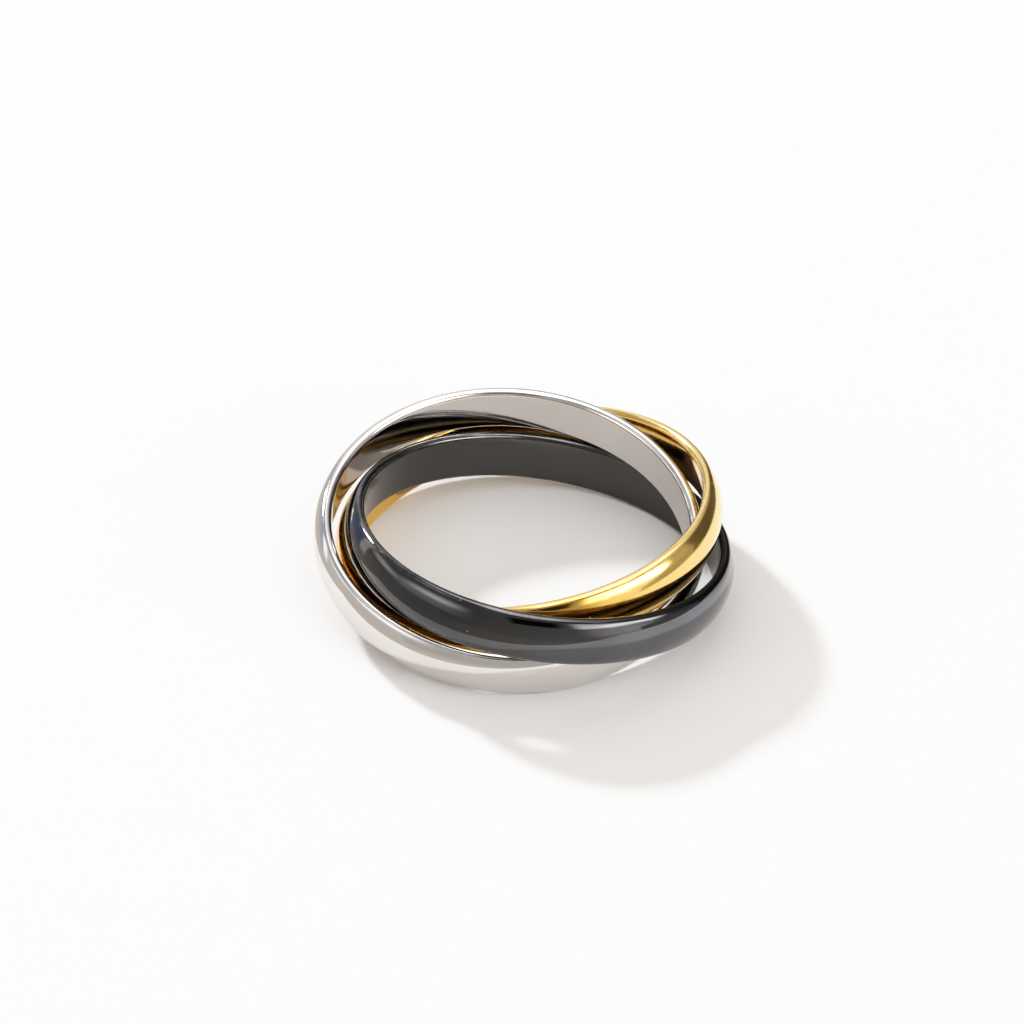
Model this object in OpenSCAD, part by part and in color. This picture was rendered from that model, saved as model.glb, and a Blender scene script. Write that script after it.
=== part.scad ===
// Rolling ring: three closed bands of one section, each passing through the other two.
// They lie on a flat surface at z = 0, fanned out, and each one leans up toward its own side.
// The origin is the middle of the ring's outline, on the surface.

/* [Band section] */
// Inside diameter of each band
bore_d = 19; // [19:0.1:21]
// Width of each band, edge to edge
band_w = 2.7; // [2.4:0.05:2.7]
// Thickness of each band at the crown of its dome
band_t = 0.9; // [0.8:0.05:0.9]
// Radius that rounds both edges of each band
edge_r = 0.3; // [0.3:0.01:0.34]

/* [Silver band] */
// Angle between the silver band and the surface
silver_lean = 10.1; // [10:0.1:10.4]
// Direction of the silver band's high side, anticlockwise from +X seen from above
silver_high = 105; // [104.5:0.5:105.5]

/* [Gunmetal band] */
// Angle between the gunmetal band and the surface
gunmetal_lean = 10.2; // [10.2:0.1:10.4]
// Direction of the gunmetal band's high side, anticlockwise from +X seen from above
gunmetal_high = 223; // [222.5:0.5:223.5]
// Distance of its centre from the silver band's centre, along X
gunmetal_x = 1.6; // [1.57:0.01:1.63]
// Distance of its centre from the silver band's centre, along Y
gunmetal_y = -0.66; // [-0.68:0.01:-0.63]

/* [Gold band] */
// Angle between the gold band and the surface
gold_lean = 9.8; // [9.8:0.1:10]
// Direction of the gold band's high side, anticlockwise from +X seen from above
gold_high = 339; // [338.5:0.5:339.5]
// Distance of its centre from the silver band's centre, along X
gold_x = 0.99; // [0.97:0.01:1.02]
// Distance of its centre from the silver band's centre, along Y
gold_y = 1.16; // [1.13:0.01:1.18]

/* [Hidden] */
$fn = 180;

// Section: flat inside, one shallow arc outside, and a rounded edge tangent to both
bore_r = bore_d / 2;
flat_h = band_w / 2 - edge_r;
dome_r = (edge_r^2 - (edge_r - band_t)^2 - flat_h^2) / (2 * (2 * edge_r - band_t));
dome_c = bore_r + band_t - dome_r;
dome_a = atan2(flat_h, bore_r + edge_r - dome_c);

// How far a band's surface reaches from its centre, in a direction at this angle to its plane
function reach(angle) =
    abs(angle) <= dome_a
        ? dome_c * cos(angle) + dome_r
        : (bore_r + edge_r) * cos(angle) + flat_h * abs(sin(angle)) + edge_r;

// Half the size of a leaning band along X, Y and Z
function half_size(lean, high) =
    let (axis = [-cos(high) * sin(lean), -sin(high) * sin(lean), cos(lean)])
    [for (part = axis) reach(asin(part))];

silver_half = half_size(silver_lean, silver_high);
gunmetal_half = half_size(gunmetal_lean, gunmetal_high);
gold_half = half_size(gold_lean, gold_high);

// Centre of each band: its own half height above the surface, so that each one touches it
silver_at = [0, 0, silver_half.z];
gunmetal_at = [gunmetal_x, gunmetal_y, gunmetal_half.z];
gold_at = [gold_x, gold_y, gold_half.z];

// Middle of the outline that the three bands make together
centres = [silver_at, gunmetal_at, gold_at];
halves = [silver_half, gunmetal_half, gold_half];
function lowest(i) = min([for (k = [0:2]) centres[k][i] - halves[k][i]]);
function highest(i) = max([for (k = [0:2]) centres[k][i] + halves[k][i]]);
outline_middle = [(lowest(0) + highest(0)) / 2, (lowest(1) + highest(1)) / 2, 0];

module section() {
    tangent = [dome_c + dome_r * cos(dome_a), dome_r * sin(dome_a)];
    polygon([
        [bore_r, -flat_h],
        [tangent.x, -tangent.y],
        [tangent.x, tangent.y],
        [bore_r, flat_h]
    ]);
    for (side = [-1, 1])
        translate([bore_r + edge_r, side * flat_h])
            circle(r = edge_r);
    intersection() {
        translate([dome_c, 0])
            circle(r = dome_r);
        translate([tangent.x, -tangent.y])
            square([band_t, 2 * tangent.y]);
    }
}

// One band, leaning with its high side toward the given direction
module band(at, lean, high) {
    translate(at - outline_middle)
        rotate([0, 0, high])
            rotate([0, -lean, 0])
                rotate_extrude()
                    section();
}

module silver_band() {
    color("silver")
        band(silver_at, silver_lean, silver_high);
}

module gunmetal_band() {
    color("dimgray")
        band(gunmetal_at, gunmetal_lean, gunmetal_high);
}

module gold_band() {
    color("goldenrod")
        band(gold_at, gold_lean, gold_high);
}

silver_band();
gunmetal_band();
gold_band();
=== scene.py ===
import math

import bpy
from mathutils import Matrix, Vector


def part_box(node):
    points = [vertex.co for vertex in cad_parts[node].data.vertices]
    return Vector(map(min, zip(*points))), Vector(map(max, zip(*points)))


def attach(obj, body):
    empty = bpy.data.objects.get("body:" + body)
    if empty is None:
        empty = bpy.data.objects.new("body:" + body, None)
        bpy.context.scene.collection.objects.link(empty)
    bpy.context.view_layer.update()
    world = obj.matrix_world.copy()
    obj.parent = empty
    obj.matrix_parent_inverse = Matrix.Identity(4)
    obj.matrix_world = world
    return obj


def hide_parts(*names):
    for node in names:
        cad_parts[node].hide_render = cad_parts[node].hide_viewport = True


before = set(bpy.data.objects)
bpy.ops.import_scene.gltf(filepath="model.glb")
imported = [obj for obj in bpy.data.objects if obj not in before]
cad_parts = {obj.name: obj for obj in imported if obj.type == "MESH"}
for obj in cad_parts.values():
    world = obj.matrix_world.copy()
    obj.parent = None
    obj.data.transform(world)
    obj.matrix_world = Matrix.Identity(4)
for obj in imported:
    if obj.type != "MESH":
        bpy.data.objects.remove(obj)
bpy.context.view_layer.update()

# Silver band
# A closed band of bare stainless steel, flat inside and domed outside, turned from tube.
# The bore keeps a fine brushed grain that runs round it and the dome is buffed to a mirror.
# The other two bands pass through it, and nothing else holds them.
mm = 0.001
bore_radius = 9.5 * mm
band_width = 2.7 * mm
band_thickness = 0.9 * mm
edge_radius = 0.3 * mm
edge_height = band_width / 2 - edge_radius
silver_lean = 10.1
silver_high_side = 105
steps_around = 512
steps_bore = 4
steps_edge = 16
steps_dome = 18
steel = (0.725, 0.695, 0.664)
steel_shade = (0.645, 0.608, 0.572)
steel_worn = (0.78, 0.765, 0.745)
steel_dust = (0.35, 0.33, 0.31)


def half_section():
    """Points (radius, height) of the upper half of the section, from the bore over to the crown."""
    # The dome is the arc that is tangent to the edge's arc and passes through the crown.
    squares = edge_radius ** 2 - (edge_radius - band_thickness) ** 2 - edge_height ** 2
    dome_radius = squares / (2 * (2 * edge_radius - band_thickness))
    dome_centre = bore_radius + band_thickness - dome_radius
    edge_centre = bore_radius + edge_radius
    dome_angle = math.atan2(edge_height, edge_centre - dome_centre)
    points = []
    for step in range(steps_bore):
        points.append((bore_radius, edge_height * step / steps_bore))
    for step in range(steps_edge):
        angle = math.pi - (math.pi - dome_angle) * step / steps_edge
        radius = edge_centre + edge_radius * math.cos(angle)
        points.append((radius, edge_height + edge_radius * math.sin(angle)))
    for step in range(steps_dome):
        angle = dome_angle * (1 - step / steps_dome)
        points.append((dome_centre + dome_radius * math.cos(angle), dome_radius * math.sin(angle)))
    return points


def turned_band(name, node, lean, high_side):
    """One band turned about its own axis, then leaned with its high side where the node has it."""
    upper = half_section()
    lower = [(radius, -height) for radius, height in reversed(upper[1:])]
    outline = upper + [(bore_radius + band_thickness, 0.0)] + lower
    count = len(outline)
    low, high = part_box(node)
    lying = Matrix.Rotation(math.radians(high_side), 4, "Z")
    leaning = Matrix.Rotation(math.radians(-lean), 4, "Y")
    stand = Matrix.Translation((low + high) / 2) @ lying @ leaning
    turned = []
    faces = []
    for turn in range(steps_around):
        angle = 2 * math.pi * turn / steps_around
        for radius, height in outline:
            turned.append(Vector((radius * math.cos(angle), radius * math.sin(angle), height)))
        following = (turn + 1) % steps_around
        for point in range(count):
            after = (point + 1) % count
            faces.append((turn * count + point, turn * count + after,
                          following * count + after, following * count + point))
    mesh = bpy.data.meshes.new(name)
    mesh.from_pydata([stand @ place for place in turned], [], faces)
    mesh.polygons.foreach_set("use_smooth", [True] * len(faces))
    along_band = mesh.attributes.new("place_on_band", "FLOAT_VECTOR", "POINT")
    along_band.data.foreach_set("vector", [number for place in turned for number in place])
    mesh.update()
    band = bpy.data.objects.new(name, mesh)
    bpy.context.scene.collection.objects.link(band)
    return band


def new_group(name, inputs, outputs):
    """A shader node group with its sockets, its tree and its two end nodes."""
    tree = bpy.data.node_groups.new(name, "ShaderNodeTree")
    for label, kind, value in inputs:
        socket = tree.interface.new_socket(label, in_out="INPUT", socket_type=kind)
        if value is not None:
            socket.default_value = value
    for label, kind in outputs:
        tree.interface.new_socket(label, in_out="OUTPUT", socket_type=kind)
    return tree, tree.nodes.new("NodeGroupInput"), tree.nodes.new("NodeGroupOutput")


def set_socket(tree, socket, value):
    """Links a socket to another one, or sets it to a number or a colour."""
    if isinstance(value, bpy.types.NodeSocket):
        tree.links.new(value, socket)
    elif isinstance(value, tuple) and len(value) == 3 and socket.type == "RGBA":
        socket.default_value = (*value, 1)
    else:
        socket.default_value = value


def maths(tree, operation, first, second=0.0, third=0.0):
    """The result of a Math node."""
    node = tree.nodes.new("ShaderNodeMath")
    node.operation = operation
    for socket, value in zip(node.inputs, (first, second, third)):
        set_socket(tree, socket, value)
    return node.outputs[0]


def vector_maths(tree, operation, first, second=None):
    """The result of a Vector Math node, which is a number for a length or a dot product."""
    node = tree.nodes.new("ShaderNodeVectorMath")
    node.operation = operation
    set_socket(tree, node.inputs[0], first)
    if second is not None:
        set_socket(tree, node.inputs[1], second)
    return node.outputs["Value"] if operation in ("LENGTH", "DOT_PRODUCT") else node.outputs["Vector"]


def fade(tree, value, start, end):
    """A smooth step from 0 where the value is start to 1 where it is end."""
    node = tree.nodes.new("ShaderNodeMapRange")
    node.interpolation_type = "SMOOTHSTEP"
    for label, number in (("Value", value), ("From Min", start), ("From Max", end)):
        set_socket(tree, node.inputs[label], number)
    return node.outputs["Result"]


def noise(tree, place, scale, detail=2.0, roughness=0.5):
    """Soft noise from 0 to 1, with about scale waves to each unit of its place."""
    node = tree.nodes.new("ShaderNodeTexNoise")
    values = {"Vector": place, "Scale": scale, "Detail": detail, "Roughness": roughness}
    for label, value in values.items():
        set_socket(tree, node.inputs[label], value)
    return node.outputs["Fac"]


def mixed(tree, amount, first, second):
    """A colour between two colours."""
    node = tree.nodes.new("ShaderNodeMix")
    node.data_type = "RGBA"
    set_socket(tree, node.inputs["Factor"], amount)
    set_socket(tree, node.inputs["A"], first)
    set_socket(tree, node.inputs["B"], second)
    return node.outputs["Result"]


def round_and_up(tree, place):
    """The level part of a place on the band, and its height above the band's middle."""
    parts = tree.nodes.new("ShaderNodeSeparateXYZ")
    tree.links.new(place, parts.inputs[0])
    level = tree.nodes.new("ShaderNodeCombineXYZ")
    tree.links.new(parts.outputs["X"], level.inputs["X"])
    tree.links.new(parts.outputs["Y"], level.inputs["Y"])
    return level.outputs[0], parts.outputs["Z"]


def unrolled(tree, place, per_radian, per_metre):
    """Noise coordinates with so many waves to a radian round the band and to a metre over it."""
    level, height = round_and_up(tree, place)
    wound = tree.nodes.new("ShaderNodeVectorMath")
    wound.operation = "SCALE"
    tree.links.new(vector_maths(tree, "NORMALIZE", level), wound.inputs[0])
    set_socket(tree, wound.inputs["Scale"], per_radian)
    rise = tree.nodes.new("ShaderNodeCombineXYZ")
    tree.links.new(maths(tree, "MULTIPLY", height, per_metre), rise.inputs["Z"])
    return vector_maths(tree, "ADD", wound.outputs["Vector"], rise.outputs[0])


def bore_and_edge_group():
    """Masks for the bore and for the two rounded edges, from the place on the band."""
    bore_full = bore_radius + 0.02 * mm
    bore_gone = bore_radius + 0.09 * mm
    edge_gone = edge_height - 0.02 * mm
    edge_full = edge_height + 0.2 * mm
    tree, given, made = new_group("bore and edge", [("Place", "NodeSocketVector", None)],
                                  [("Bore", "NodeSocketFloat"), ("Edge", "NodeSocketFloat")])
    level, height = round_and_up(tree, given.outputs["Place"])
    radius = vector_maths(tree, "LENGTH", level)
    tree.links.new(fade(tree, radius, bore_gone, bore_full), made.inputs["Bore"])
    tree.links.new(fade(tree, maths(tree, "ABSOLUTE", height), edge_gone, edge_full), made.inputs["Edge"])
    return tree


def satin_grain_group():
    """Fine brushed lines that run round the band, with a few deeper ones among them."""
    deep_breaks_per_radian = 9.0
    deep_lines_per_fine = 0.28
    deep_share = 0.6
    fine_share = 0.4
    tree, given, made = new_group(
        "satin grain",
        [("Place", "NodeSocketVector", None), ("Lines per mm", "NodeSocketFloat", 14.0),
         ("Breaks per radian", "NodeSocketFloat", 6.0)],
        [("Height", "NodeSocketFloat"), ("Deep lines", "NodeSocketFloat")])
    place = given.outputs["Place"]
    lines = maths(tree, "MULTIPLY", given.outputs["Lines per mm"], 1 / mm)
    fine_place = unrolled(tree, place, given.outputs["Breaks per radian"], lines)
    fine = noise(tree, fine_place, scale=1.0, detail=3.0, roughness=0.7)
    deep_lines = maths(tree, "MULTIPLY", lines, deep_lines_per_fine)
    deep_place = unrolled(tree, place, deep_breaks_per_radian, deep_lines)
    deep = noise(tree, deep_place, scale=1.0, detail=2.0, roughness=0.6)
    height = maths(tree, "MULTIPLY_ADD", deep, deep_share, maths(tree, "MULTIPLY", fine, fine_share))
    tree.links.new(height, made.inputs["Height"])
    tree.links.new(fade(tree, deep, start=0.58, end=0.72), made.inputs["Deep lines"])
    return tree


def hairline_group():
    """Sparse hairline scratches that wearing leaves on a polished dome, in two slanting sets."""
    # Each set has its slant, in radians round the band to a metre over it, and then its waves to a
    # radian and to a mm.
    slants = ((420.0, 7.0, 9.0), (-760.0, 10.0, 7.0))
    tree, given, made = new_group("hairline scratches",
                                  [("Place", "NodeSocketVector", None),
                                   ("Amount", "NodeSocketFloat", 0.5)],
                                  [("Scratches", "NodeSocketFloat")])
    place = given.outputs["Place"]
    sets = []
    for slant, waves_per_radian, waves_per_mm in slants:
        height = vector_maths(tree, "DOT_PRODUCT", place, (0, 0, 1))
        swing = tree.nodes.new("ShaderNodeVectorRotate")
        swing.rotation_type = "Z_AXIS"
        tree.links.new(place, swing.inputs["Vector"])
        tree.links.new(maths(tree, "MULTIPLY", height, slant), swing.inputs["Angle"])
        lined_place = unrolled(tree, swing.outputs[0], waves_per_radian, waves_per_mm / mm)
        lined = noise(tree, lined_place, scale=1.0, detail=2.0, roughness=0.6)
        sets.append(fade(tree, lined, start=0.655, end=0.70))
    broken = fade(tree, noise(tree, place, scale=420.0), start=0.40, end=0.62)
    kept = maths(tree, "MULTIPLY", maths(tree, "MAXIMUM", sets[0], sets[1]), broken)
    tree.links.new(maths(tree, "MULTIPLY", kept, given.outputs["Amount"]), made.inputs["Scratches"])
    return tree


def worn_edge_group():
    """Brighter wear along the rounded edges, broken up so that it is nowhere even."""
    nick_share = 0.5
    tree, given, made = new_group("worn edge",
                                  [("Place", "NodeSocketVector", None),
                                   ("Edge", "NodeSocketFloat", 0.0), ("Amount", "NodeSocketFloat", 0.5)],
                                  [("Wear", "NodeSocketFloat")])
    place = given.outputs["Place"]
    patches = fade(tree, noise(tree, place, scale=650.0, detail=4.0, roughness=0.6), start=0.38, end=0.66)
    nicks = fade(tree, noise(tree, place, scale=5200.0), start=0.56, end=0.68)
    nicked = maths(tree, "MINIMUM", maths(tree, "MULTIPLY_ADD", nicks, nick_share, patches), 1.0)
    worn = maths(tree, "MULTIPLY", nicked, given.outputs["Edge"])
    tree.links.new(maths(tree, "MULTIPLY", worn, given.outputs["Amount"]), made.inputs["Wear"])
    return tree


def handling_group():
    """What handling leaves: smudges, specks of dust, soft waves of polish and a drift of tone."""
    cells_per_metre = 1500.0
    dusty_cells = 0.12
    smallest_speck = 0.03
    speck_range = 0.07
    waves_per_radian = 5.0
    waves_per_mm = 0.55
    tree, given, made = new_group("handling",
                                  [("Place", "NodeSocketVector", None),
                                   ("Specks", "NodeSocketFloat", 0.5)],
                                  [("Smudge", "NodeSocketFloat"), ("Dust", "NodeSocketFloat"),
                                   ("Waves", "NodeSocketFloat"), ("Drift", "NodeSocketFloat")])
    place = given.outputs["Place"]
    smudge = noise(tree, place, scale=330.0, detail=4.0, roughness=0.62)
    tree.links.new(fade(tree, smudge, start=0.46, end=0.70), made.inputs["Smudge"])
    cells = tree.nodes.new("ShaderNodeTexVoronoi")
    tree.links.new(place, cells.inputs["Vector"])
    cells.inputs["Scale"].default_value = cells_per_metre
    chance = tree.nodes.new("ShaderNodeSeparateColor")
    tree.links.new(cells.outputs["Color"], chance.inputs[0])
    share = maths(tree, "MULTIPLY", given.outputs["Specks"], dusty_cells)
    chosen = maths(tree, "LESS_THAN", chance.outputs[0], share)
    size = maths(tree, "MULTIPLY_ADD", chance.outputs[1], speck_range, smallest_speck)
    past_rim = maths(tree, "SUBTRACT", cells.outputs["Distance"], size)
    speck = fade(tree, past_rim, start=0.02, end=-0.01)
    tree.links.new(maths(tree, "MULTIPLY", chosen, speck), made.inputs["Dust"])
    wave_place = unrolled(tree, place, waves_per_radian, waves_per_mm / mm)
    tree.links.new(noise(tree, wave_place, scale=1.0, detail=1.0), made.inputs["Waves"])
    tree.links.new(noise(tree, place, scale=120.0), made.inputs["Drift"])
    return tree


def pitting_group():
    """The faint orange peel that a buffing wheel leaves, seen where soft light grazes the dome."""
    tree, given, made = new_group("fine pitting",
                                  [("Place", "NodeSocketVector", None),
                                   ("Pits per mm", "NodeSocketFloat", 9.0)],
                                  [("Height", "NodeSocketFloat")])
    pits = maths(tree, "MULTIPLY", given.outputs["Pits per mm"], 1 / mm)
    tree.links.new(noise(tree, given.outputs["Place"], pits, roughness=0.55), made.inputs["Height"])
    return tree


bore_and_edge = bore_and_edge_group()
satin_grain = satin_grain_group()
hairline_scratches = hairline_group()
worn_edge = worn_edge_group()
handling = handling_group()
fine_pitting = pitting_group()


def placed_group(tree, group, values):
    """The outputs of a group that is placed in a material with its own values."""
    node = tree.nodes.new("ShaderNodeGroup")
    node.node_tree = group
    for label, value in values.items():
        set_socket(tree, node.inputs[label], value)
    return node.outputs


def new_metal(name):
    """A material with a metal shader, and the place on the band to drive it."""
    material = bpy.data.materials.new(name)
    material.use_nodes = True
    tree = material.node_tree
    shader = tree.nodes["Principled BSDF"]
    shader.inputs["Metallic"].default_value = 1.0
    attribute = tree.nodes.new("ShaderNodeAttribute")
    attribute.attribute_name = "place_on_band"
    return material, tree, shader, attribute.outputs["Vector"]


def set_roughness(tree, shader, polished, added):
    """The roughness of the polish, and what each mask adds to it where the mask is 1."""
    roughness = polished
    for mask, amount in added:
        roughness = maths(tree, "MULTIPLY_ADD", mask, amount, roughness)
    tree.links.new(roughness, shader.inputs["Roughness"])


def raised(tree, height, depth, under=None):
    """A normal bumped by a height from 0 to 1, depth metres deep, on top of another normal."""
    bump = tree.nodes.new("ShaderNodeBump")
    bump.inputs["Strength"].default_value = 1.0
    bump.inputs["Distance"].default_value = depth
    tree.links.new(height, bump.inputs["Height"])
    if under is not None:
        tree.links.new(under, bump.inputs["Normal"])
    return bump.outputs["Normal"]


def set_relief(tree, shader, layers):
    """Bumps from the broadest to the finest, each a height from 0 to 1 and its depth in metres."""
    normal = None
    for height, depth in layers:
        normal = raised(tree, height, depth, normal)
    tree.links.new(normal, shader.inputs["Normal"])


def silver_metal():
    """Bare steel: a warm grey tone that drifts a little, paler where the edges are rubbed."""
    dust_cover = 0.7
    material, tree, shader, place = new_metal("bare polished steel")
    zone = placed_group(tree, bore_and_edge, {"Place": place})
    grain = placed_group(tree, satin_grain,
                         {"Place": place, "Lines per mm": 13.0, "Breaks per radian": 6.0})
    lines = placed_group(tree, hairline_scratches, {"Place": place, "Amount": 0.8})
    wear = placed_group(tree, worn_edge, {"Place": place, "Edge": zone["Edge"], "Amount": 0.8})
    marks = placed_group(tree, handling, {"Place": place, "Specks": 0.5})
    pits = placed_group(tree, fine_pitting, {"Place": place, "Pits per mm": 8.0})
    drifted = mixed(tree, fade(tree, marks["Drift"], start=0.35, end=0.65), steel, steel_shade)
    toned = mixed(tree, maths(tree, "MULTIPLY", zone["Bore"], grain["Deep lines"]), drifted, steel_shade)
    edged = mixed(tree, wear["Wear"], toned, steel_worn)
    dusty = mixed(tree, maths(tree, "MULTIPLY", marks["Dust"], dust_cover), edged, steel_dust)
    tree.links.new(dusty, shader.inputs["Base Color"])
    set_roughness(tree, shader, polished=0.045,
                  added=((marks["Smudge"], 0.05), (zone["Bore"], 0.03), (lines["Scratches"], 0.16),
                         (wear["Wear"], 0.06), (marks["Dust"], 0.4)))
    bore_grain = maths(tree, "MULTIPLY", grain["Height"], zone["Bore"])
    set_relief(tree, shader, layers=((marks["Waves"], 0.0035 * mm), (pits["Height"], 0.0002 * mm),
                                     (bore_grain, 0.0007 * mm), (lines["Scratches"], -0.0006 * mm)))
    return material


silver = turned_band("silver_ring_band", "silver_band", silver_lean, silver_high_side)
silver.data.materials.append(silver_metal())
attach(silver, "silver")
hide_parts("silver_band")

# Gunmetal band
# The same steel band with a thin black vapour coating, so its mirror is dark and slightly uneven.
# It passes through the silver and gold bands. The coating rubs thin along the edges. Its tone is painted
# light and shade:
# paler on one side of the band and darker on the other, and darker along the upper edge on the pale side,
# a painted shade.
gunmetal_lean = 10.2
gunmetal_high_side = 223
# The first two tones are painted shade and painted light, for the two sides of the band.
coat_shaded_side = (0.055, 0.056, 0.060)
coat_lit_side = (0.122, 0.126, 0.136)
coat_brown = (0.085, 0.080, 0.074)
coat_bore = (0.072, 0.070, 0.069)
coat_worn = (0.24, 0.23, 0.225)
# This tone is a painted shade for the upper edge on the pale side.
coat_painted_shade = (0.022, 0.022, 0.023)
coat_dust = (0.22, 0.21, 0.20)
# The direction of the painted paler side, and where it begins and where it is full.
lit_side_direction = (-0.45, 0.89, 0)
lit_side_from = -0.3 * bore_radius
lit_side_full = bore_radius
# Where the painted shade on the upper edge begins and is full, across the band and up it.
shade_side_from = 0.1 * bore_radius
shade_side_full = 0.7 * bore_radius
shade_height_from = 0.95 * mm
shade_height_full = 1.3 * mm


def gunmetal_metal():
    """The dark coating, mixed from its painted shaded and lit sides, brown tone, rubbed edges and a
    painted shade on the upper edge.
    """
    line_share = 0.3
    wear_share = 0.5
    dust_cover = 0.6
    material, tree, shader, place = new_metal("black coated steel")
    zone = placed_group(tree, bore_and_edge, {"Place": place})
    grain = placed_group(tree, satin_grain,
                         {"Place": place, "Lines per mm": 12.0, "Breaks per radian": 5.0})
    lines = placed_group(tree, hairline_scratches, {"Place": place, "Amount": 0.7})
    wear = placed_group(tree, worn_edge, {"Place": place, "Edge": zone["Edge"], "Amount": 0.55})
    marks = placed_group(tree, handling, {"Place": place, "Specks": 0.8})
    pits = placed_group(tree, fine_pitting, {"Place": place, "Pits per mm": 8.0})
    # Painted light and shade: the coat is paler towards one side of the band and darker towards the other.
    side = vector_maths(tree, "DOT_PRODUCT", place, lit_side_direction)
    coat = mixed(tree, fade(tree, side, lit_side_from, lit_side_full), coat_shaded_side, coat_lit_side)
    drifted = mixed(tree, fade(tree, marks["Drift"], start=0.45, end=0.75), coat, coat_brown)
    toned = mixed(tree, zone["Bore"], drifted, coat_bore)
    bore_lines = maths(tree, "MULTIPLY", zone["Bore"], grain["Deep lines"])
    lined = mixed(tree, maths(tree, "MULTIPLY", bore_lines, line_share), toned, coat_brown)
    rubbed = mixed(tree, maths(tree, "MULTIPLY", wear["Wear"], wear_share), lined, coat_worn)
    # Painted shade: the upper edge on the pale side of the band is darkened.
    height = vector_maths(tree, "DOT_PRODUCT", place, (0, 0, 1))
    shade_height_mask = fade(tree, height, shade_height_from, shade_height_full)
    shade_side_mask = fade(tree, side, shade_side_from, shade_side_full)
    shade_mask = maths(tree, "MULTIPLY", shade_height_mask, shade_side_mask)
    edged = mixed(tree, shade_mask, rubbed, coat_painted_shade)
    dusty = mixed(tree, maths(tree, "MULTIPLY", marks["Dust"], dust_cover), edged, coat_dust)
    tree.links.new(dusty, shader.inputs["Base Color"])
    set_roughness(tree, shader, polished=0.05,
                  added=((marks["Smudge"], 0.05), (zone["Bore"], 0.1), (lines["Scratches"], 0.14),
                         (wear["Wear"], 0.05), (marks["Dust"], 0.4)))
    bore_grain = maths(tree, "MULTIPLY", grain["Height"], zone["Bore"])
    set_relief(tree, shader, layers=((marks["Waves"], 0.004 * mm), (pits["Height"], 0.0002 * mm),
                                     (bore_grain, 0.0012 * mm), (lines["Scratches"], -0.0006 * mm)))
    return material


gunmetal = turned_band("gunmetal_ring_band", "gunmetal_band", gunmetal_lean, gunmetal_high_side)
gunmetal.data.materials.append(gunmetal_metal())
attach(gunmetal, "gunmetal")
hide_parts("gunmetal_band")

# Gold band
# The same steel band with a yellow gold coating, the brightest and softest of the three finishes.
# It passes through the other two. Its edges rub paler, one side of its dome is painted paler as a painted
# highlight, and its bore has the same brushed grain.
gold_lean = 9.8
gold_high_side = 339
gold_deep = (0.875, 0.465, 0.07)
gold_light = (0.92, 0.55, 0.15)
# A painted highlight tone for the paler side of the dome.
gold_painted_highlight = (0.93, 0.61, 0.19)
gold_worn = (0.93, 0.66, 0.27)
gold_dust = (0.42, 0.33, 0.2)
highlight_side = (0.5, 0.87, 0)
highlight_from = -0.2 * bore_radius
highlight_full = 0.8 * bore_radius


def gold_metal():
    """The gold coating, mixed from its deep and light tones, a painted highlight on one side and rubbed
    edges.
    """
    wear_share = 0.7
    dust_cover = 0.6
    material, tree, shader, place = new_metal("gold coated steel")
    zone = placed_group(tree, bore_and_edge, {"Place": place})
    grain = placed_group(tree, satin_grain,
                         {"Place": place, "Lines per mm": 13.0, "Breaks per radian": 6.0})
    lines = placed_group(tree, hairline_scratches, {"Place": place, "Amount": 0.9})
    wear = placed_group(tree, worn_edge, {"Place": place, "Edge": zone["Edge"], "Amount": 0.6})
    marks = placed_group(tree, handling, {"Place": place, "Specks": 0.5})
    pits = placed_group(tree, fine_pitting, {"Place": place, "Pits per mm": 9.0})
    drifted = mixed(tree, fade(tree, marks["Drift"], start=0.36, end=0.64), gold_deep, gold_light)
    # Painted highlight: the dome is paler towards one side, but not in the bore.
    side = vector_maths(tree, "DOT_PRODUCT", place, highlight_side)
    highlight_mask = maths(tree, "SUBTRACT", fade(tree, side, highlight_from, highlight_full), zone["Bore"])
    highlighted = mixed(tree, maths(tree, "MAXIMUM", highlight_mask, 0.0), drifted, gold_painted_highlight)
    toned = mixed(tree, maths(tree, "MULTIPLY", zone["Bore"], grain["Deep lines"]), highlighted, gold_deep)
    edged = mixed(tree, maths(tree, "MULTIPLY", wear["Wear"], wear_share), toned, gold_worn)
    dusty = mixed(tree, maths(tree, "MULTIPLY", marks["Dust"], dust_cover), edged, gold_dust)
    tree.links.new(dusty, shader.inputs["Base Color"])
    set_roughness(tree, shader, polished=0.09,
                  added=((marks["Smudge"], 0.06), (zone["Bore"], -0.02), (lines["Scratches"], 0.16),
                         (wear["Wear"], 0.06), (marks["Dust"], 0.4)))
    bore_grain = maths(tree, "MULTIPLY", grain["Height"], zone["Bore"])
    set_relief(tree, shader, layers=((marks["Waves"], 0.004 * mm), (pits["Height"], 0.0006 * mm),
                                     (bore_grain, 0.0007 * mm), (lines["Scratches"], -0.0006 * mm)))
    return material


gold = turned_band("gold_ring_band", "gold_band", gold_lean, gold_high_side)
gold.data.materials.append(gold_metal())
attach(gold, "gold")
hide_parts("gold_band")

# Pale floor
# A plain matt white floor, seen by the camera and lit, but kept out of the bands' reflections.
# They mirror a smaller table top of the same paint instead, which ends near the ring on its left.
floor_reach = 4.0
table_corner = Vector((-21.55, -4.08, 0.02)) * mm
table_front = Vector((44.78, -32.11, 0)).normalized()
table_side = Vector((35.96, 46.84, 0)).normalized()
table_length = 160 * mm
table_depth = 46 * mm
paint_dark = (0.838, 0.834, 0.828)
paint_light = (0.862, 0.86, 0.856)
paint_roughness = 0.9
paint_tooth = 0.012 * mm


def studio_sheet(name, corners):
    """A flat sheet that isn't part of the ring, through corners in metres."""
    mesh = bpy.data.meshes.new(name)
    mesh.from_pydata(corners, [], [tuple(range(len(corners)))])
    sheet = bpy.data.objects.new(name, mesh)
    bpy.context.scene.collection.objects.link(sheet)
    return sheet


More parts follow.
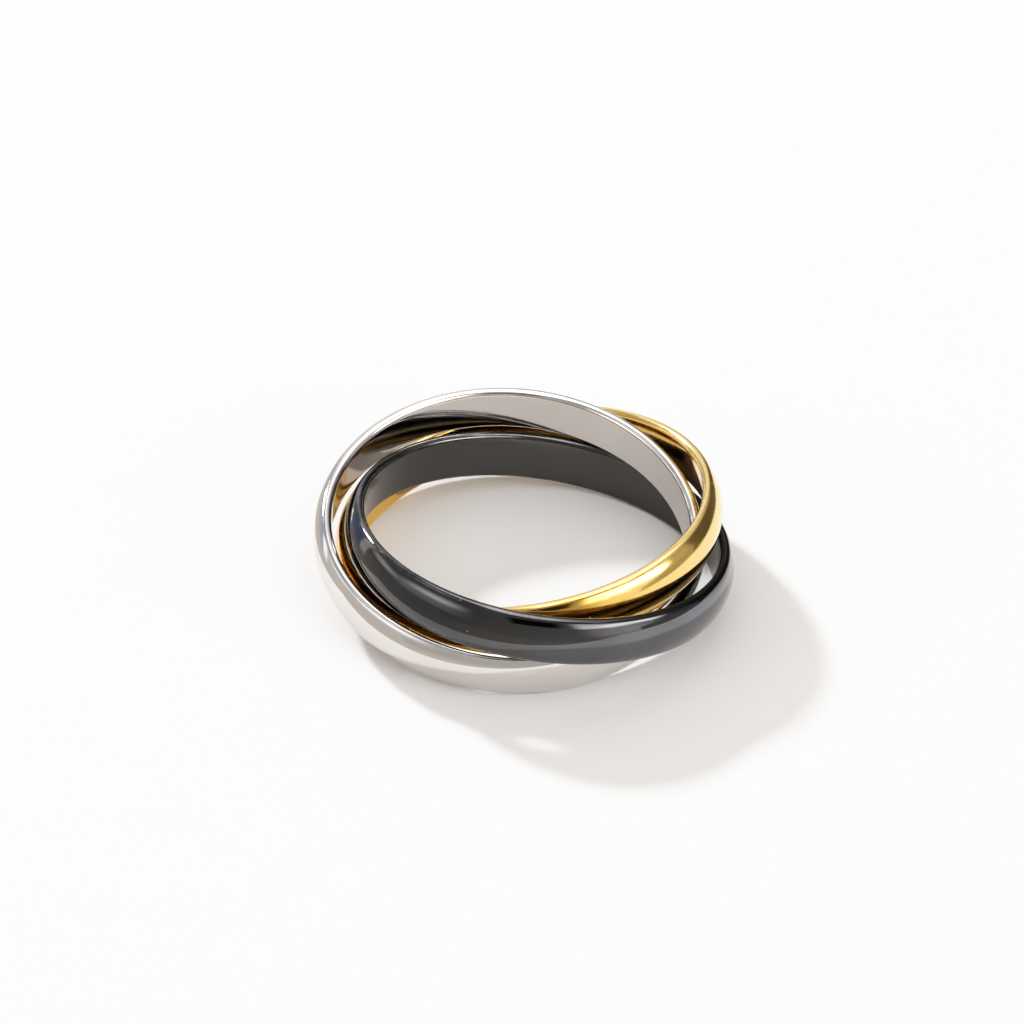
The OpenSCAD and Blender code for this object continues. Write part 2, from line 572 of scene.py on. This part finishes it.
def rectangle(half_across, half_tall):
    """The corners of a level rectangle round the middle of its sheet."""
    return [(-half_across, -half_tall, 0), (half_across, -half_tall, 0),
            (half_across, half_tall, 0), (-half_across, half_tall, 0)]


def floor_paint():
    """Matt white paint, faintly mottled, with the fine tooth that a roller leaves."""
    material = bpy.data.materials.new("pale floor paint")
    material.use_nodes = True
    tree = material.node_tree
    shader = tree.nodes["Principled BSDF"]
    place = tree.nodes.new("ShaderNodeTexCoord").outputs["Object"]
    mottle = noise(tree, place, scale=260.0, detail=5.0, roughness=0.65)
    tree.links.new(mixed(tree, mottle, paint_dark, paint_light), shader.inputs["Base Color"])
    shader.inputs["Roughness"].default_value = paint_roughness
    tooth = noise(tree, place, scale=3200.0, detail=4.0, roughness=0.6)
    tree.links.new(raised(tree, tooth, paint_tooth), shader.inputs["Normal"])
    return material


paint = floor_paint()
floor = studio_sheet("pale_floor", rectangle(floor_reach, floor_reach))
floor.data.materials.append(paint)
floor.visible_glossy = False
table_front_end = table_corner + table_front * table_length
table = studio_sheet("mirrored_table", [table_corner, table_front_end,
                                        table_front_end + table_side * table_depth,
                                        table_corner + table_side * table_depth])
table.data.materials.append(paint)
table.visible_camera = False
table.visible_diffuse = False
table.visible_shadow = False


# Studio cards
# Soft boxes and dark flags round the ring, each a flat card that faces it and fades at its edges.
# The camera sees none of them. Most show only in the bands' mirrors, and a few light the floor.
def see_through(tree, cover, surface):
    """A surface that is clear wherever its cover is 0."""
    clear = tree.nodes.new("ShaderNodeBsdfTransparent")
    shown = tree.nodes.new("ShaderNodeMixShader")
    tree.links.new(cover, shown.inputs["Fac"])
    tree.links.new(clear.outputs[0], shown.inputs[1])
    tree.links.new(surface, shown.inputs[2])
    return shown.outputs[0]


def studio_card(name, at, size, colour, strength, soft, turned=0,
                lights_floor=False, throws_no_glints=False):
    """A card at this azimuth, elevation and distance, with the size in degrees that the ring sees."""
    azimuth, elevation, distance = at
    half_across = distance * math.tan(math.radians(size[0] / 2))
    half_tall = distance * math.tan(math.radians(size[1] / 2))
    card = studio_sheet(name, rectangle(half_across, half_tall))
    flat = math.cos(math.radians(elevation))
    toward = Vector((flat * math.cos(math.radians(azimuth)), flat * math.sin(math.radians(azimuth)),
                     math.sin(math.radians(elevation))))
    facing = toward.to_track_quat("Z", "Y").to_matrix().to_4x4()
    roll = Matrix.Rotation(math.radians(turned), 4, "Z")
    card.matrix_world = Matrix.Translation(toward * distance) @ facing @ roll
    card.visible_camera = False
    card.visible_shadow = False
    card.visible_diffuse = lights_floor
    material = bpy.data.materials.new(name)
    material.use_nodes = True
    tree = material.node_tree
    tree.nodes.clear()
    place = tree.nodes.new("ShaderNodeTexCoord").outputs["Object"]
    parts = tree.nodes.new("ShaderNodeSeparateXYZ")
    tree.links.new(vector_maths(tree, "ABSOLUTE", place), parts.inputs[0])
    sides = fade(tree, parts.outputs["X"], half_across, half_across * (1 - soft))
    ends = fade(tree, parts.outputs["Y"], half_tall, half_tall * (1 - soft))
    cover = maths(tree, "MULTIPLY", sides, ends)
    if throws_no_glints:
        path = tree.nodes.new("ShaderNodeLightPath")
        before_floor = maths(tree, "LESS_THAN", path.outputs["Diffuse Depth"], 0.5)
        cover = maths(tree, "MULTIPLY", cover, before_floor)
    glow = tree.nodes.new("ShaderNodeEmission")
    glow.inputs["Color"].default_value = (*colour, 1)
    glow.inputs["Strength"].default_value = strength
    out = tree.nodes.new("ShaderNodeOutputMaterial")
    tree.links.new(see_through(tree, cover, glow.outputs[0]), out.inputs["Surface"])
    card.data.materials.append(material)
    return card


# The key is a small hard light behind the ring. One card lights the floor, and its twin shows only
# in the bands, with no glints thrown from them onto the floor, which would come out as grain.
key_place = (130, 31.2, 1.5)
key_size = (6.5, 6.5)
key_colour = (0.94, 0.98, 1.05)
key_strength = 530
key_soft = 0.3
key_light = studio_card("key_light", key_place, key_size, key_colour, key_strength, key_soft,
                        lights_floor=True)
key_light.visible_glossy = False
studio_card("key_glint", key_place, key_size, key_colour, key_strength, key_soft, throws_no_glints=True)
studio_card("blue_sky", (139, 3, 1.7), (58, 46), (0.44, 0.55, 0.88), strength=1.0, soft=0.9)
studio_card("key_scrim", (101, 24, 1.7), (30, 46), (0.98, 0.96, 1.0), strength=1.4, soft=0.3)
studio_card("white_strip", (152, 8, 1.6), (10, 46), (1, 0.96, 0.95), strength=2.1, soft=0.5)
studio_card("left_softbox", (207, 20.5, 1.2), (56, 24), (1, 0.965, 0.93), strength=6.3, soft=1.0,
            turned=14, lights_floor=True)
studio_card("left_softbox_tail", (172, 13, 1.2), (36, 14), (1, 0.97, 0.95), strength=3.0, soft=0.9)
studio_card("left_softbox_foot", (205, 11, 1.15), (66, 26), (1, 0.96, 0.93), strength=1.6, soft=0.9)
studio_card("left_high_strip", (192, 52, 1.2), (40, 14), (1, 0.98, 0.96), strength=2.0, soft=0.7)
studio_card("right_softbox", (326, 25.5, 1.2), (58, 20), (1, 0.965, 0.95), strength=6.2, soft=0.4,
            turned=-14, lights_floor=True)
studio_card("right_softbox_core", (332, 21.5, 1.15), (50, 12), (1, 0.99, 1.0), strength=23.0, soft=0.8,
            turned=-12)
studio_card("right_softbox_glow", (322, 9, 1.1), (56, 36), (1, 0.97, 0.94), strength=1.7, soft=0.8)
studio_card("camera_flag", (273.5, 31, 1.0), (33, 17), (1, 1, 1), strength=0.02, soft=0.4)
studio_card("back_right_flag", (43, 3, 1.6), (66, 54), (1, 0.98, 0.93), strength=0.12, soft=0.2)
studio_card("back_softbox", (52, 54, 1.5), (110, 36), (1, 0.98, 0.96), strength=1.05, soft=0.5)
studio_card("top_flag", (292, 58, 1.15), (50, 15), (1, 0.98, 0.96), strength=0.38, soft=0.3)
studio_card("overhead_softbox", (10, 78, 1.3), (76, 58), (1, 0.97, 0.94), strength=4.8, soft=0.4,
            lights_floor=True)
studio_card("grey_card", (186.5, -4.5, 0.9), (61, 17), (1, 0.96, 0.935), strength=0.76, soft=0.04)
studio_card("right_card", (353, 1.5, 0.9), (43, 11), (1, 1, 1), strength=0.45, soft=0.04)
fill = studio_card("ceiling_fill", (90, 88, 1.0), (110, 110), (1, 0.955, 0.9), strength=1.55, soft=0.5,
                   lights_floor=True)
fill.visible_glossy = False

# Gap flags
# Painted shade: sheets of dark, brown and grey on the floor at the bands' left side, where the seams
# between the real bands are too tight for the floor to show, so the bands mirror shade there instead of
# lit floor. Only the bands' mirrors see them. The shade that stands in a seam shows nowhere, and only
# stops the light that would pass through it.
gap_dark = (0.05, 0.036, 0.022)
gap_brown = (0.15, 0.115, 0.075)
gap_grey = (0.33, 0.35, 0.38)
flag_roughness = 0.9
flag_lift = 0.05 * mm
shade_left = Vector((-8.85, 5.47, 2.35)) * mm
shade_right = Vector((-7.28, 7.19, 2.35)) * mm
shade_rise = Vector((0, 0, 1.0)) * mm


def gap_flag(name, colour, outline, inside_seams_only=False):
    """A sheet of painted shade on the floor; one for inside the seams shows only to a ray's second mirror
    or later.
    """
    flag = studio_sheet(name, [(x * mm, y * mm, flag_lift) for x, y in outline])
    flag.visible_camera = False
    flag.visible_diffuse = False
    flag.visible_shadow = False
    material = bpy.data.materials.new(name)
    material.use_nodes = True
    tree = material.node_tree
    shader = tree.nodes["Principled BSDF"]
    shader.inputs["Base Color"].default_value = (*colour, 1)
    shader.inputs["Roughness"].default_value = flag_roughness
    if inside_seams_only:
        path = tree.nodes.new("ShaderNodeLightPath")
        after_one_mirror = maths(tree, "GREATER_THAN", path.outputs["Glossy Depth"], 1.5)
        seen = see_through(tree, after_one_mirror, shader.outputs[0])
        tree.links.new(seen, tree.nodes["Material Output"].inputs["Surface"])
    flag.data.materials.append(material)


# Each of these sheets is painted shade, seen in the bands in place of lit floor.
gap_flag("left_gap_flag", gap_brown, [(-13.5, 3.0), (-9.3, 3.0), (-9.3, 12), (-13.5, 12)],
         inside_seams_only=True)
gap_flag("inner_gap_flag", gap_grey, [(-5.75, 6.8), (-4.2, 6.8), (-4.2, 8.1), (-5.75, 8.1)])
gap_flag("lower_gap_flag", gap_dark, [(-13.8, 2.6), (-13.6, -2.4), (-12.4, -4.8), (-9.2, -8.2),
                                      (-3.2, -11), (-2.2, -7.4), (-6.2, -4.3), (-8.6, -1.6), (-9.4, 1.4)],
         inside_seams_only=True)
seam_shade = studio_sheet("seam_shade", [shade_left, shade_right, shade_right + shade_rise,
                                         shade_left + shade_rise])
seam_shade.visible_camera = False
seam_shade.visible_diffuse = False
seam_shade.visible_glossy = False

# Studio room
# Dim walls and ceiling, and a bright warm ground beyond the table, all from the height of the view.
# Each tone has its height: 0 is straight down, 0.5 is level with the ring and 1 is straight up.
room_tones = ((0.0, (0.80, 0.74, 0.62)), (0.36, (0.82, 0.76, 0.64)), (0.43, (0.62, 0.60, 0.575)),
              (0.70, (0.52, 0.51, 0.50)), (0.86, (0.46, 0.46, 0.48)))
room = bpy.data.worlds.new("studio room")
bpy.context.scene.world = room
room.use_nodes = True
room_tree = room.node_tree
looking = room_tree.nodes.new("ShaderNodeSeparateXYZ")
room_tree.links.new(room_tree.nodes.new("ShaderNodeTexCoord").outputs["Generated"], looking.inputs[0])
shades = room_tree.nodes.new("ShaderNodeValToRGB")
while len(shades.color_ramp.elements) < len(room_tones):
    shades.color_ramp.elements.new(1.0)
for stop, (height, colour) in zip(shades.color_ramp.elements, room_tones):
    stop.position = height
    stop.color = (*colour, 1)
room_tree.links.new(maths(room_tree, "MULTIPLY_ADD", looking.outputs["Z"], 0.5, 0.5), shades.inputs["Fac"])
room_tree.links.new(shades.outputs["Color"], room_tree.nodes["Background"].inputs["Color"])

# Camera
# A long lens looking down at the ring, with a slight roll, and a soft shoulder on the highlights.
camera_place = Vector((-0.817, -235.817, 176.634)) * mm
camera_target = Vector((-0.66, 6.183, 0)) * mm
camera_roll = 0.965
camera_data = bpy.data.cameras.new("camera")
camera_data.lens = 193.81
camera_data.sensor_width = 36
camera_data.clip_start = 0.01
camera = bpy.data.objects.new("camera", camera_data)
bpy.context.scene.collection.objects.link(camera)
back = (camera_place - camera_target).normalized().to_track_quat("Z", "Y").to_matrix().to_4x4()
roll = Matrix.Rotation(math.radians(camera_roll), 4, "Z")
camera.matrix_world = Matrix.Translation(camera_place) @ back @ roll
bpy.context.scene.camera = camera

# Each pair gives how bright the light is and how bright it is shown.
tone_points = ((0.05, 0.043), (0.12, 0.111), (0.25, 0.24), (0.5, 0.45), (1.0, 0.72), (1.6, 0.955),
               (2.4, 0.995))
brightest = 4.0
view = bpy.context.scene.view_settings
view.view_transform = "Standard"
view.use_curve_mapping = True
view.curve_mapping.extend = "HORIZONTAL"
view.curve_mapping.white_level = (brightest, brightest, brightest)
combined_curve = view.curve_mapping.curves[3]
combined_curve.points[0].location = (0, 0)
combined_curve.points[1].location = (1, 1)
for light, shown in tone_points:
    combined_curve.points.new(light / brightest, shown)
view.curve_mapping.update()
